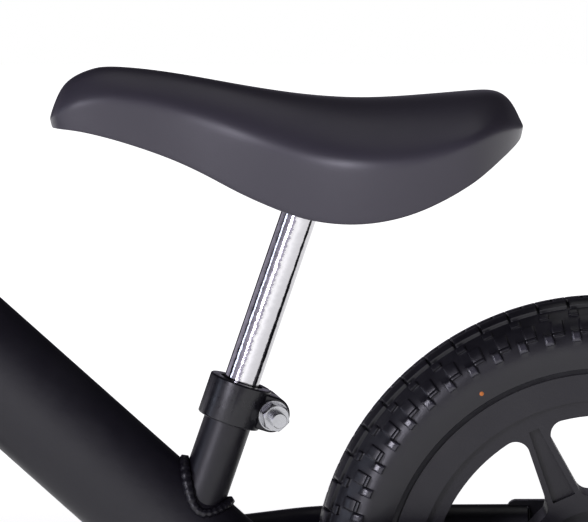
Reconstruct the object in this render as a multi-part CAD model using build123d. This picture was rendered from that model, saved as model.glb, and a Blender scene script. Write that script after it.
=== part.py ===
from build123d import *
import os
from math import cos, radians, sin, sqrt, tan

# A child's balance bike with 12-inch wheels. Millimetres. The bike faces -X, +Y is its right side, +Z is up,
# and the origin is on the ground midway between the wheels.

# Whole bike
WHEELBASE = 550
TYRE_R = 152
HEAD_TILT = 20            # steering axis from upright, top towards the rear
FORK_OFFSET = 30          # axle ahead of the steering axis
HEAD_HEIGHT = 246         # axle level to the middle of the head tube, along the steering axis

# Main tube: an oval tube that runs down from the head tube to just in front of the rear wheel
MAIN_SLOPE = 42
MAIN_TALL = 30            # half height of the oval
MAIN_WIDE = 18            # half width of the oval
MAIN_WALL = 1.8
MAIN_LENGTH = 347
END_CAP = 3

# Head tube and headset
HEAD_HALF = 48
HEAD_R = 19
HEAD_BORE = 17
STEERER_R = 14.3
STEERER_WALL = 1.6
STEERER_TOP = 99.5
CUP_R = 22.5
CUP_FLANGE = 12
CUP_INSERT = 10
CUP_THROAT = 15.4
BEARING_SEAT = 20.5
BEARING_HIGH = 7
RACE_GAP = 0.6            # between a cup, which is still, and what turns above or below it
RUNNING = 0.05            # radial clearance of a running fit

# Fork
CROWN_TOP = -64
CROWN_HIGH = 22
CROWN_R = 17
BLADE_R = 11
BLADE_WALL = 1.5
BLADE_Y = 42.5
BLADE_END_SHORT = 20      # the blade stops this far from the axle, and the dropout plate goes on

# Seat tube, its clamp and the seat post
SEAT_TILT = 19
SEAT_AT = 296             # from the middle of the head tube, along the main tube, to the seat tube's axis
SEAT_TUBE_R = 12.7
SEAT_TUBE_BORE = 11.2
SEAT_TUBE_TOP = 87
SLEEVE_LONG = 45
POST_R = 9.5
POST_WALL = 1.5
POST_FOOT = 23            # the post's lower end at rest, along the seat axis from the main tube's axis
POST_PLUG = 6
BRACKET_Z = 380           # underside of the plate welded on the post
BRACKET = (76, 40, 4)
SCREW_SPACING = (52, 24)
SCREW_R = 2.5

# Split collars that clamp the seat post and the handlebar stem
COLLAR_HIGH = 22
COLLAR_WALL = 4.0
COLLAR_LIP = 1.5
COLLAR_SLOT = 1.5         # half the width of the split
EAR_HALF = 11.5
EAR_LOBE = 9.5
BOLT_OUT = 5.9            # bolt's axis beyond the collar's bore
BOLT_R = 4
NUT_FLATS = 13
NUT_HIGH = 6.5
HEAD_HIGH = 5.3
WASHER_R = 8
WASHER_THICK = 1.6
BOLT_PAST_NUT = 3.5
SEAT_COLLAR_TURN = 16     # the seat collar is turned on its tube, and its nut looks a little rearwards

# Saddle
SADDLE_WALL = 8
SADDLE_CROWN = 12         # thickness of the padding over the base
BASE_THICK = 3
BASE_BOSS_R = 6

# Rear stays and dropout plates
STAY_R = 11
STAY_Z = 175.5
STAY_WALL = 1.5
DROPOUT_IN = 40           # inner face of a dropout plate from the middle of the bike
DROPOUT_THICK = 5
DROPOUT_ROUND = 5
# Corners of a rear dropout plate in side view. Those in the stay are (x, z); the others count from the axle.
DROPOUT_IN_STAY = [(224, 164), (228, 189), (252, 189)]
DROPOUT_BY_AXLE = [(17, 4), (14, -16), (-8, -18)]

# Wheels. Half widths are measured from the wheel's middle plane.
RIM_R = 113
RIM_HALF = 19
RIM_STEP_R = 99           # inner edge of the rim's side face
BAND_HALF = 15            # the band inside that edge, the spokes and the hub disc
WINDOW_R = 90.4
WINDOW_ROUND = 7.5
CHANNEL_HALF = 15.5       # the tyre's beads fill the rim's channel down to the shelf
SHELF_R = 104
WELL_HALF = 10.5
WELL_R = 97
HUB_R = 48
HUB_RING = 7              # width of the raised ring round the hub disc
HUB_HOLLOW = 9            # how far the hub disc is sunk inside its ring
BOSS_R = 17
SPOKES = 5
SPOKE_AT = 114            # one spoke of the rear wheel, from the rearward direction upwards
SPOKE_HUB_HALF = 9.5      # half width of a spoke at the hub disc
SPOKE_RIM_HALF = 5.75     # and at the band
SPOKE_RIB = 3             # width of the rib along each edge of a spoke
SPOKE_HOLLOW = 4          # how far a spoke is sunk between its ribs
TYRE_HALF = 23.5
TYRE_SHOULDER = (136, 22.6)
TYRE_WALL = 3.6
TUBE_WALL = 1
VALVE_R = 4
VALVE_END = 66            # the valve's tip, from the axle
AXLE_R = 5
AXLE_TIP_R = 4.2
AXLE_TIP = 6.5            # length of the axle's turned-down tip
AXLE_HALF = 62
HUB_HALF = 30
BALL_RACE_R = 13
BALL_RACE_WIDE = 8
SIDE_GAP = 0.4            # between a wheel's bearings and the still parts beside them
AXLE_NUT_FLATS = 15
AXLE_NUT_HIGH = 8
AXLE_WASHER_R = 10

# Handlebar
BAR_R = 11.1
BAR_WALL = 1.6
BAR_Z = 165               # crossbar above the middle of the head tube
STEM_R = 12.65
STEM_FOOT = -5
GRIP_LONG = 92
GRIP_R = 15.2

# Working frames. Each has its z along an axis of the bike.
TILT = radians(HEAD_TILT)
REAR_AXLE = Plane(origin=(WHEELBASE / 2, 0, TYRE_R), x_dir=(1, 0, 0), z_dir=(0, -1, 0))
FRONT_AXLE = Plane(origin=(-WHEELBASE / 2, 0, TYRE_R), x_dir=(1, 0, 0), z_dir=(0, -1, 0))
HEAD_X = -WHEELBASE / 2 + FORK_OFFSET * cos(TILT) + HEAD_HEIGHT * sin(TILT)
HEAD_Z = TYRE_R - FORK_OFFSET * sin(TILT) + HEAD_HEIGHT * cos(TILT)
STEER = Plane(origin=(HEAD_X, 0, HEAD_Z), x_dir=(cos(TILT), 0, -sin(TILT)), z_dir=(sin(TILT), 0, cos(TILT)))
SLOPE = radians(MAIN_SLOPE)
MAIN = Plane(origin=STEER.origin, x_dir=(sin(SLOPE), 0, cos(SLOPE)), z_dir=(cos(SLOPE), 0, -sin(SLOPE)))
LEAN = radians(SEAT_TILT)
SEAT = Plane(origin=MAIN.from_local_coords((0, 0, SEAT_AT)), x_dir=(cos(LEAN), 0, -sin(LEAN)),
             z_dir=(sin(LEAN), 0, cos(LEAN)))
SEAT_COLLAR = SEAT.offset(SEAT_TUBE_TOP + COLLAR_LIP - COLLAR_HIGH).location * Rotation(0, 0, SEAT_COLLAR_TURN)
STEM_COLLAR = STEER.offset(STEERER_TOP + COLLAR_LIP - COLLAR_HIGH).location


def rod(radius, start, end):
    """A round bar along z."""
    return Pos(0, 0, start) * extrude(Circle(radius), end - start)


def ring(outer, inner, start, end):
    """A round tube along z."""
    return Pos(0, 0, start) * extrude(Circle(outer) - Circle(inner), end - start)


def hexagon(flats, start, end):
    """A hexagonal prism along z with its corners turned off."""
    high = end - start
    prism = extrude(RegularPolygon(flats / 2, 6, major_radius=False), high)
    corner = flats / 2 / cos(radians(30))
    blank = chamfer(extrude(Circle(corner), high).edges(), 0.12 * corner)
    return Pos(0, 0, start) * (prism & blank)


def both_sides(shape):
    """The shape and its mirror image across the bike's middle plane."""
    return shape, mirror(shape, about=Plane.XZ)


def save(name, *pieces):
    """Writes one node, of one solid or of several like ones."""
    shape = pieces[0] if len(pieces) == 1 else Compound(list(pieces))
    export_step(shape, f"parts/{name}.step")


# Frame

def main_tube_blank():
    return MAIN * extrude(Ellipse(MAIN_TALL, MAIN_WIDE), MAIN_LENGTH)


def make_main_tube():
    inner = Ellipse(MAIN_TALL - MAIN_WALL, MAIN_WIDE - MAIN_WALL)
    tube = MAIN * extrude(Ellipse(MAIN_TALL, MAIN_WIDE) - inner, MAIN_LENGTH)
    tube -= STEER * rod(HEAD_R, -2 * HEAD_HALF, 2 * HEAD_HALF)
    tube -= SEAT * rod(SEAT_TUBE_BORE, 0, MAIN_TALL * 2)
    save("main_tube", tube.solids().sort_by(SortBy.VOLUME)[-1])


def make_main_tube_end_cap():
    lip = Pos(0, 0, -8) * extrude(Ellipse(MAIN_TALL - MAIN_WALL, MAIN_WIDE - MAIN_WALL), 8)
    cover = extrude(Ellipse(MAIN_TALL, MAIN_WIDE), END_CAP)
    cover = fillet(cover.edges().group_by(Axis.Z)[-1], 1.5)
    save("main_tube_end_cap", MAIN.offset(MAIN_LENGTH) * (lip + cover))


def make_head_tube():
    tube = ring(HEAD_R, HEAD_BORE, -HEAD_HALF, HEAD_HALF)
    save("head_tube", STEER * tube)


def make_seat_tube():
    tube = SEAT * ring(SEAT_TUBE_R, SEAT_TUBE_BORE, 0, SEAT_TUBE_TOP)
    slot = SEAT_COLLAR * Pos(SEAT_TUBE_R, 0, 0) * Box(SEAT_TUBE_R, 2, 2 * COLLAR_HIGH)
    tube -= main_tube_blank()
    tube -= slot
    save("seat_tube", tube.solids().sort_by(Axis.Z)[-1])


def make_seat_tube_sleeve():
    """A split plastic bush that brings the seat tube's bore down to the post."""
    sleeve = ring(SEAT_TUBE_BORE, POST_R + RUNNING, SEAT_TUBE_TOP - SLEEVE_LONG, SEAT_TUBE_TOP)
    split = Pos(SEAT_TUBE_BORE, 0, SEAT_TUBE_TOP - SLEEVE_LONG / 2) * Box(8, 2, SLEEVE_LONG + 2)
    save("seat_tube_sleeve", SEAT * (sleeve - split))


def stay_path():
    """The right stay's middle line: out from the main tube, then straight back beside the tyre."""
    return FilletPolyline((60, 6, STAY_Z - 3), (128, BLADE_Y, STAY_Z - 0.5), (238, BLADE_Y, STAY_Z), radius=70)


def swept_tube(path, outer, inner):
    start = Plane(origin=path @ 0, z_dir=path % 0)
    return sweep(start * Circle(outer), path) - sweep(start * Circle(inner), path)


def rear_dropout():
    """The right rear dropout: a plate let into the stay's end, with an axle slot open to the rear."""
    axle_x, axle_z = WHEELBASE / 2, TYRE_R
    corners = [*DROPOUT_IN_STAY, *[(axle_x + x, axle_z + z) for x, z in DROPOUT_BY_AXLE]]
    plate = fillet(make_face(Polyline(*corners, close=True)).vertices(), DROPOUT_ROUND)
    slot = Pos(axle_x, axle_z) * (Circle(AXLE_R + RUNNING) + Pos(10, 0) * Rectangle(20, 2 * (AXLE_R + RUNNING)))
    plane = Plane(origin=(0, DROPOUT_IN, 0), x_dir=(1, 0, 0), z_dir=(0, -1, 0))
    return plane * extrude(plate - slot, -DROPOUT_THICK)


def make_rear_triangle():
    plate = rear_dropout()
    stay = swept_tube(stay_path(), STAY_R, STAY_R - STAY_WALL) - main_tube_blank() - plate
    stay = stay.solids().sort_by(SortBy.VOLUME)[-1]
    for side, piece in zip(("right", "left"), both_sides(stay)):
        save(f"stay_{side}", piece)
    for side, piece in zip(("right", "left"), both_sides(plate)):
        save(f"rear_dropout_{side}", piece)


# Headset. Distances are along the steering axis from the middle of the head tube.

def headset_cup():
    """A cup for the upper end: an insert pressed into the head tube, and a flange that holds the bearing."""
    flange = ring(CUP_R, CUP_THROAT, HEAD_HALF, HEAD_HALF + CUP_FLANGE)
    flange = fillet(flange.edges().filter_by(GeomType.CIRCLE).sort_by(SortBy.RADIUS)[-2:], 1.5)
    insert = ring(HEAD_BORE, CUP_THROAT, HEAD_HALF - CUP_INSERT, HEAD_HALF)
    seat = rod(BEARING_SEAT, HEAD_HALF + 4, HEAD_HALF + CUP_FLANGE + 1)
    return flange + insert - seat


def headset_bearing():
    return ring(BEARING_SEAT, STEERER_R + RUNNING, HEAD_HALF + 4, HEAD_HALF + 4 + BEARING_HIGH)


def race(outer, high):
    """A ring on the steerer that closes a bearing, clear of the cup and the bearing."""
    start = HEAD_HALF + CUP_FLANGE + RACE_GAP
    rim = ring(17, STEERER_R, HEAD_HALF + 4 + BEARING_HIGH + RACE_GAP, start + 1)
    return rim + ring(outer, STEERER_R, start, start + high)


def make_headset():
    under = Plane.XY
    for name, piece in (("cup", headset_cup()), ("bearing", headset_bearing())):
        save(f"headset_upper_{name}", STEER * piece)
        save(f"headset_lower_{name}", STEER * mirror(piece, about=under))
    race_high = -CROWN_TOP - HEAD_HALF - CUP_FLANGE - RACE_GAP
    save("headset_crown_race", STEER * mirror(race(21, race_high), about=under))
    nut_high = 8.4
    nut_top = HEAD_HALF + CUP_FLANGE + RACE_GAP + nut_high
    save("headset_adjusting_nut", STEER * race(21.5, nut_high))
    save("headset_lock_washer", STEER * ring(19, STEERER_R, nut_top, nut_top + 1.5))
    save("headset_locknut", STEER * (hexagon(36, nut_top + 1.5, nut_top + 8) - rod(STEERER_R, 0, 100)))


# Fork. Its parts are made on the steering axis, where -x is forwards.

def blade_path():
    """The right blade's middle line: down from the crown, then forwards to the axle."""
    axle_z = -HEAD_HEIGHT
    bend_z = CROWN_TOP - CROWN_HIGH - 62
    toe = (-FORK_OFFSET, axle_z)
    run = sqrt(toe[0] ** 2 + (toe[1] - bend_z) ** 2)
    share = 1 - BLADE_END_SHORT / run
    end = (toe[0] * share, BLADE_Y, bend_z + (toe[1] - bend_z) * share)
    return FilletPolyline((0, BLADE_Y, CROWN_TOP - CROWN_HIGH), (0, BLADE_Y, bend_z), end, radius=90)


def fork_dropout():
    """The right fork end: a plate let into the blade, with an axle slot open downwards."""
    path = blade_path()
    end = path @ 1
    along = path % 1
    across = Vector(-along.Z, 0, along.X)
    neck = [end - along * 14 + across * 8, end - along * 14 - across * 8]
    points = [(p.X, p.Z) for p in neck]
    x, z = -FORK_OFFSET, -HEAD_HEIGHT
    plate = make_hull([*Polyline(*points, (x, z), close=True).edges(), *(Pos(x, z) * Circle(14)).edges()])
    mouth = Pos(x, z) * (Circle(AXLE_R + RUNNING) + Pos(0, -10) * Rectangle(2 * (AXLE_R + RUNNING), 20))
    plane = Plane(origin=(0, DROPOUT_IN, 0), x_dir=(1, 0, 0), z_dir=(0, -1, 0))
    return plane * extrude(plate - mouth, -DROPOUT_THICK)


def make_fork():
    steerer = ring(STEERER_R, STEERER_R - STEERER_WALL, CROWN_TOP - CROWN_HIGH, STEERER_TOP)
    steerer -= Pos(STEERER_R, 0, STEERER_TOP) * Box(STEERER_R, 2, 2 * COLLAR_HIGH)
    save("fork_steerer", STEER * steerer)
    crown = extrude(Rotation(0, 0, 90) * SlotCenterToCenter(2 * BLADE_Y, 2 * CROWN_R), CROWN_HIGH)
    crown = fillet(crown.edges(), 4)
    crown = Pos(0, 0, CROWN_TOP - CROWN_HIGH) * crown - rod(STEERER_R, CROWN_TOP - CROWN_HIGH - 1, 0)
    save("fork_crown", STEER * crown)
    plate = fork_dropout()
    blade = swept_tube(blade_path(), BLADE_R, BLADE_R - BLADE_WALL) - plate
    blade = blade.solids().sort_by(SortBy.VOLUME)[-1]
    for side, piece in zip(("right", "left"), both_sides(blade)):
        save(f"fork_blade_{side}", STEER * piece)
    for side, piece in zip(("right", "left"), both_sides(plate)):
        save(f"fork_dropout_{side}", STEER * piece)


# Split collars, with their bolt, washers and nut. Made on z from 0 up, ears along +x and the nut towards -y.

def split_collar(bore):
    """A collar with two ears. A lip inside its top rests on the tube that it goes over."""
    bolt_x = bore + BOLT_OUT
    body = extrude(Circle(bore + COLLAR_WALL), COLLAR_HIGH)
    mid = COLLAR_HIGH / 2
    lobe = Pos(bolt_x, mid) * Circle(EAR_LOBE) + Pos(bolt_x / 2, mid) * Rectangle(bolt_x, 2 * EAR_LOBE)
    ears = Plane.XZ * extrude(lobe, EAR_HALF, both=True)
    ears = fillet(ears.edges().filter_by(GeomType.CIRCLE), 1.2)
    body = fillet(body.edges(), 1.0)
    collar = body + ears
    collar -= rod(bore, -1, COLLAR_HIGH - COLLAR_LIP) + rod(bore - 1.2, 0, COLLAR_HIGH + 1)
    collar -= Pos(bolt_x, 0, mid) * Box(2 * bolt_x, 2 * COLLAR_SLOT, COLLAR_HIGH + 2)
    bolt_place = Pos(bolt_x, 0, mid) * Rotation(90, 0, 0)
    collar -= bolt_place * rod(BOLT_R + 0.2, -20, 20)
    for start in (-30, EAR_HALF):
        collar -= bolt_place * rod(WASHER_R + 0.4, start, start + 30 - EAR_HALF)
    return collar


def collar_fasteners(bore):
    """Bolt, two washers and nut, on the bolt's own axis: z runs towards the nut."""
    place = Pos(bore + BOLT_OUT, 0, COLLAR_HIGH / 2) * Rotation(90, 0, 0)
    nut_start = EAR_HALF + WASHER_THICK
    nut_end = nut_start + NUT_HIGH
    bolt = rod(BOLT_R, -nut_start, nut_end + BOLT_PAST_NUT)
    bolt = chamfer(bolt.edges().group_by(Axis.Z)[-1], 0.8)
    bolt += hexagon(NUT_FLATS, -nut_start - HEAD_HIGH, -nut_start)
    washers = [ring(WASHER_R, BOLT_R + 0.2, start, start + WASHER_THICK) for start in (-nut_start, EAR_HALF)]
    nut = hexagon(NUT_FLATS, nut_start, nut_end) - rod(BOLT_R, 0, nut_end + 1)
    return place * bolt, [place * washer for washer in washers], place * nut


def make_collar(name, frame, bore):
    bolt, washers, nut = collar_fasteners(bore)
    save(f"{name}_clamp", frame * split_collar(bore))
    save(f"{name}_clamp_bolt", frame * bolt)
    save(f"{name}_clamp_washers", *[frame * washer for washer in washers])
    save(f"{name}_clamp_nut", frame * nut)


# Seat post and saddle

def make_seat_post():
    bracket_x = SEAT.origin.X + (BRACKET_Z - SEAT.origin.Z) * tan(LEAN)
    above = Pos(bracket_x, 0, BRACKET_Z + 50) * Box(200, 200, 100)
    post = SEAT * ring(POST_R, POST_R - POST_WALL, POST_FOOT, 260) - above
    save("seat_post", post)
    plug = rod(POST_R - POST_WALL, POST_FOOT, POST_FOOT + POST_PLUG)
    save("seat_post_plug", SEAT * (plug + rod(POST_R, POST_FOOT - 2, POST_FOOT)))
    holes = GridLocations(*SCREW_SPACING, 2, 2)
    plate = RectangleRounded(BRACKET[0], BRACKET[1], 6) - holes * Circle(SCREW_R + 0.1)
    save("saddle_bracket", Pos(bracket_x, 0, BRACKET_Z) * extrude(plate, BRACKET[2]))
    screw = rod(SCREW_R, 0, 9.5) + fillet(rod(4.5, -3, 0).edges().group_by(Axis.Z)[0], 1.5)
    save("saddle_screws", *[Pos(bracket_x, 0, BRACKET_Z) * place * screw for place in holes])
    return bracket_x


# Side view of the saddle, from the nose, over the top and round under the skirt
SADDLE_NOSE = (-13.5, 392)
SADDLE_TAIL = (232, 390)
SADDLE_TOP = [(-3, 414.5), (15, 421.5), (54, 418), (101, 409.6), (148, 405.4), (195, 408), (222, 405)]
SADDLE_SKIRT = [(220, 373.5), (195, 354.3), (168, 343.3), (142, 339.8), (116, 342.8), (85, 356), (54, 372.6),
                (8, 387.5)]
# Corners of the saddle's right side from above, nose to tail, and how far each is rounded
SADDLE_PLAN = [(SADDLE_NOSE[0], 22), (75, 27), (160, 66), (SADDLE_TAIL[0], 60)]
SADDLE_ROUNDS = [19, 160, 55, 38]


def saddle_side(drop):
    """The saddle's top line in side view, lowered by drop."""
    top = [(x, z - drop) for x, z in (SADDLE_NOSE, *SADDLE_TOP, SADDLE_TAIL)]
    return Spline(*top)


def saddle_plan(inset):
    """The saddle from above, drawn in by inset all round."""
    left = [(x, -y) for x, y in reversed(SADDLE_PLAN)]
    rounds = [*SADDLE_ROUNDS, *reversed(SADDLE_ROUNDS)]
    area = make_face(FilletPolyline(*SADDLE_PLAN, *left, radius=rounds, close=True))
    return offset(area, -inset) if inset else area


def saddle_block(side, inset):
    """What lies inside both a side view and a plan."""
    slab = Plane.XZ * extrude(side, 100, both=True)
    return slab & Pos(0, 0, 200) * extrude(saddle_plan(inset), 300)


def make_saddle(bracket_x):
    outline = Spline(SADDLE_NOSE, *SADDLE_TOP, SADDLE_TAIL) + Spline(SADDLE_TAIL, *SADDLE_SKIRT, SADDLE_NOSE)
    outer = saddle_block(make_face(outline.edges()), 0)
    under = saddle_side(SADDLE_CROWN)
    low = 300
    close = Polyline(under @ 1, (SADDLE_TAIL[0], low), (SADDLE_NOSE[0], low), under @ 0)
    hollow = saddle_block(make_face([*under.edges(), *close.edges()]), SADDLE_WALL)
    save("saddle_cover", outer - hollow)
    lower = saddle_side(SADDLE_CROWN + BASE_THICK)
    ends = Line(under @ 1, lower @ 1) + Line(lower @ 0, under @ 0)
    base = saddle_block(make_face([*under.edges(), *ends.edges(), *lower.edges()]), SADDLE_WALL)
    top_z = BRACKET_Z + BRACKET[2]
    for place in GridLocations(*SCREW_SPACING, 2, 2):
        at = Pos(bracket_x, 0, 0) * place
        base += at * rod(BASE_BOSS_R, top_z, top_z + 15) & hollow
    for place in GridLocations(*SCREW_SPACING, 2, 2):
        base -= Pos(bracket_x, 0, 0) * place * rod(SCREW_R, top_z - 1, BRACKET_Z + 9.5)
    save("saddle_base", base)


# Wheels. Made on the axle, which is z.

def spun(points):
    """A solid turned round the axle from a half section of (radius, distance from the middle) points."""
    return revolve(Plane.XZ * make_face(Polyline(*points, close=True)), Axis.Z)


def spoke_half(radius):
    share = (radius - HUB_R) / (WINDOW_R - HUB_R)
    return SPOKE_HUB_HALF + share * (SPOKE_RIM_HALF - SPOKE_HUB_HALF)


def spoke_strips(start, end, inset=0):
    """All the spokes as flat strips from one radius to another, with both edges drawn in by inset."""
    near, far = spoke_half(start) - inset, spoke_half(end) - inset
    strip = make_face(Polyline((start, -near), (end, -far), (end, far), (start, near), close=True))
    return Sketch() + PolarLocations(0, SPOKES) * strip


def valve_rod(radius, start, end):
    """A radial bar in the middle of a window, opposite the first spoke, between two distances from the axle."""
    return Rotation(0, -90, 0) * rod(radius, start, end)


def moulded_wheel():
    """Rim, spokes and hub in one plastic moulding."""
    half = [(WINDOW_R, BAND_HALF), (RIM_STEP_R, BAND_HALF), (RIM_STEP_R, RIM_HALF), (RIM_R, RIM_HALF),
            (RIM_R, CHANNEL_HALF), (SHELF_R, CHANNEL_HALF), (SHELF_R, WELL_HALF), (WELL_R, WELL_HALF)]
    rim = spun([*half, *[(r, -h) for r, h in reversed(half)]])
    rim -= valve_rod(VALVE_R + 0.2, WINDOW_R - 5, WELL_R + 5)
    web = extrude(Circle(WINDOW_R + 2), BAND_HALF, both=True)
    windows = Circle(WINDOW_R) - Circle(HUB_R) - spoke_strips(HUB_R - 10, WINDOW_R + 10)
    windows = fillet(windows.vertices(), WINDOW_ROUND)
    web -= extrude(windows, BAND_HALF, both=True)
    web -= valve_rod(VALVE_R + 0.2, WINDOW_R - 5, WELL_R + 5)
    trough = spoke_strips(HUB_R + 3, WINDOW_R + 2, inset=SPOKE_RIB)
    dish = Circle(HUB_R - HUB_RING) - Circle(BOSS_R)
    for side in (1, -1):
        web -= Pos(0, 0, side * BAND_HALF) * extrude(trough, SPOKE_HOLLOW, both=True)
        web -= Pos(0, 0, side * BAND_HALF) * extrude(dish, HUB_HOLLOW, both=True)
    wheel = rim + web + rod(BOSS_R, -HUB_HALF, HUB_HALF) - rod(BOSS_R / 2, -HUB_HALF, HUB_HALF)
    for start in (-HUB_HALF, HUB_HALF - BALL_RACE_WIDE):
        wheel -= rod(BALL_RACE_R, start, start + BALL_RACE_WIDE)
    return wheel


def tyre_curve(thinner):
    """One side and the other of a tyre's section, from the rim to the middle of the tread, as four arcs."""
    shoulder_r, shoulder_half = TYRE_SHOULDER
    arcs = []
    for side in (1, -1):
        foot = (RIM_R, side * (RIM_HALF - 2 * thinner))
        shoulder = (shoulder_r - thinner / 4, side * (shoulder_half - thinner))
        arcs.append(ThreePointArc(foot, (125, side * (TYRE_HALF - thinner)), shoulder))
        crown_r = TYRE_R - thinner
        arcs.append(ThreePointArc(shoulder, (crown_r - 4.5, side * (14 - thinner / 3)), (crown_r, 0)))
    return arcs


def tyre():
    """A tyre with its two beads on the rim's shelves. Its outer face is the envelope of the tread."""
    edges = [edge for curve in tyre_curve(0) + tyre_curve(TYRE_WALL) for edge in curve.edges()]
    for side in (1, -1):
        inner_foot = (RIM_R, side * (RIM_HALF - 2 * TYRE_WALL))
        bead = Polyline((RIM_R, side * RIM_HALF), (RIM_R, side * CHANNEL_HALF), (SHELF_R, side * CHANNEL_HALF),
                        (SHELF_R, side * WELL_HALF), inner_foot)
        edges += bead.edges()
    return revolve(Plane.XZ * make_face(edges), Axis.Z)


def inner_tube():
    """The air tube that fills the tyre and the rim's well, with its valve."""
    foot = RIM_HALF - 2 * TYRE_WALL
    edges = [edge for curve in tyre_curve(TYRE_WALL) for edge in curve.edges()]
    edges += Polyline((RIM_R, foot), (SHELF_R, WELL_HALF), (WELL_R, WELL_HALF), (WELL_R, -WELL_HALF),
                      (SHELF_R, -WELL_HALF), (RIM_R, -foot)).edges()
    section = make_face(edges)
    wall = offset(section, -0.1) - offset(section, -0.1 - TUBE_WALL)
    return revolve(Plane.XZ * wall, Axis.Z) + valve_rod(VALVE_R, VALVE_END, WELL_R + 0.5)


def make_wheel(name, frame, turn):
    place = frame * Rotation(0, 0, turn)
    save(f"{name}_wheel", place * moulded_wheel())
    save(f"{name}_tyre", place * tyre())
    save(f"{name}_inner_tube", place * inner_tube())
    races = [ring(BALL_RACE_R, AXLE_R + RUNNING, start, start + BALL_RACE_WIDE)
             for start in (-HUB_HALF, HUB_HALF - BALL_RACE_WIDE)]
    save(f"{name}_wheel_bearings", *[frame * piece for piece in races])


def make_axle(name, frame):
    """The still parts of one hub. Lengths run out from the middle of the bike."""
    plate_end = DROPOUT_IN + DROPOUT_THICK
    nut_start = plate_end + WASHER_THICK
    axle = chamfer(rod(AXLE_TIP_R, -AXLE_HALF, AXLE_HALF).edges().filter_by(GeomType.CIRCLE), 0.8)
    axle += rod(AXLE_R, AXLE_TIP - AXLE_HALF, AXLE_HALF - AXLE_TIP)
    save(f"{name}_axle", frame * axle)
    inner = HUB_HALF - BALL_RACE_WIDE - SIDE_GAP
    save(f"{name}_hub_spacer", frame * ring(7.5, AXLE_R, -inner, inner))
    cone = rod(8, HUB_HALF + SIDE_GAP, 35) + hexagon(17, 35, DROPOUT_IN)
    locknut = cone - rod(AXLE_R, HUB_HALF, DROPOUT_IN)
    washer = ring(AXLE_WASHER_R, AXLE_R + 0.2, plate_end, nut_start)
    nut = hexagon(AXLE_NUT_FLATS, nut_start, nut_start + AXLE_NUT_HIGH) - rod(AXLE_R, nut_start, AXLE_HALF)
    for part_name, piece in (("locknuts", locknut), ("axle_washers", washer), ("axle_nuts", nut)):
        save(f"{name}_{part_name}", *both_sides(frame * piece))


# Handlebar. Made on the steering axis, where +x is rearwards.

def bar_half():
    """Corners of the bar's middle line, from its middle to its right end."""
    return [(0, 50, BAR_Z), (6, 95, BAR_Z + 27), (28, 200, BAR_Z + 33)]


def make_handlebar():
    right = bar_half()
    left = [(x, -y, z) for x, y, z in reversed(right)]
    path = FilletPolyline(*left, *right, radius=35)
    save("handlebar", STEER * swept_tube(path, BAR_R, BAR_R - BAR_WALL))
    stem = ring(STEM_R, STEM_R - BAR_WALL, STEM_FOOT, BAR_Z)
    stem -= Pos(0, 0, BAR_Z) * Rotation(90, 0, 0) * rod(BAR_R, -50, 50)
    stem = stem.solids().sort_by(SortBy.VOLUME)[-1]
    save("handlebar_stem", STEER * stem)
    end, bend = Vector(*right[2]), Vector(*right[1])
    place = Plane(origin=end, z_dir=(end - bend).normalized())
    grip = rod(GRIP_R, -GRIP_LONG, 0) + rod(18.5, -6, 6) + rod(20, -GRIP_LONG, -GRIP_LONG + 4)
    outer_edges = grip.edges().filter_by(GeomType.CIRCLE).filter_by(lambda edge: edge.radius > GRIP_R + 1)
    grip = fillet(outer_edges, 1.5) - rod(BAR_R, -GRIP_LONG - 1, 0)
    for side, piece in zip(("right", "left"), both_sides(place * grip)):
        save(f"grip_{side}", STEER * piece)


def main():
    os.makedirs("parts", exist_ok=True)
    make_main_tube()
    make_main_tube_end_cap()
    make_head_tube()
    make_seat_tube()
    make_seat_tube_sleeve()
    make_rear_triangle()
    make_headset()
    make_fork()
    make_collar("seat", SEAT_COLLAR, SEAT_TUBE_R)
    make_collar("stem", STEM_COLLAR, STEERER_R)
    make_saddle(make_seat_post())
    make_wheel("rear", REAR_AXLE, SPOKE_AT)
    make_wheel("front", FRONT_AXLE, SPOKE_AT - 30)
    make_axle("rear", REAR_AXLE)
    make_axle("front", FRONT_AXLE)
    make_handlebar()


main()
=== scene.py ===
from math import atan2, cos, hypot, pi, radians, sin

import bpy
from mathutils import Matrix, Vector


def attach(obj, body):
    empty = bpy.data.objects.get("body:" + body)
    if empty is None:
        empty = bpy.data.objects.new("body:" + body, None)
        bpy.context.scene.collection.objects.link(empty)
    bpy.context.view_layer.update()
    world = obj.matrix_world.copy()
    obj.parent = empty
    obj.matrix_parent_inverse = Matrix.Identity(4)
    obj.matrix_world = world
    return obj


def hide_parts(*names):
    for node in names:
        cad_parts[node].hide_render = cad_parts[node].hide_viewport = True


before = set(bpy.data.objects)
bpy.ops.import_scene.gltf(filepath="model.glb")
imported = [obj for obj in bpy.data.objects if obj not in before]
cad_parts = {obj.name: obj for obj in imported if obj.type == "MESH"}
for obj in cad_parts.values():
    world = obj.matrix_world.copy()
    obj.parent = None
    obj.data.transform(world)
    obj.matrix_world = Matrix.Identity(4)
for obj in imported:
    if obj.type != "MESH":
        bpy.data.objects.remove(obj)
bpy.context.view_layer.update()
MM = 0.001


# ---- Frame tubes -----------------------------------------------------------------------------------------
# Steel tubes: an oval main tube coped to the head tube, a round seat tube on its back, and two stays that
# run beside the rear tyre to the dropout plates. All are welded, then powder coated as one piece.

def tone(code):
    """A colour code as sRGB hex, turned to the linear values that a shader takes."""
    parts = [int(code[i:i + 2], 16) / 255 for i in (1, 3, 5)]
    return (*[c / 12.92 if c <= 0.04045 else ((c + 0.055) / 1.055) ** 2.4 for c in parts], 1)


def add(tree, kind, links=None, **settings):
    """Adds a node. A setting is one of its sockets, with _ for a space, or one of its own properties."""
    node = tree.nodes.new(kind)
    for key, value in settings.items():
        socket = node.inputs.get(key.replace("_", " "))
        if socket is None:
            setattr(node, key, value)
        else:
            socket.default_value = value
    for key, output in (links or {}).items():
        tree.links.new(output, node.inputs[key])
    return node


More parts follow.
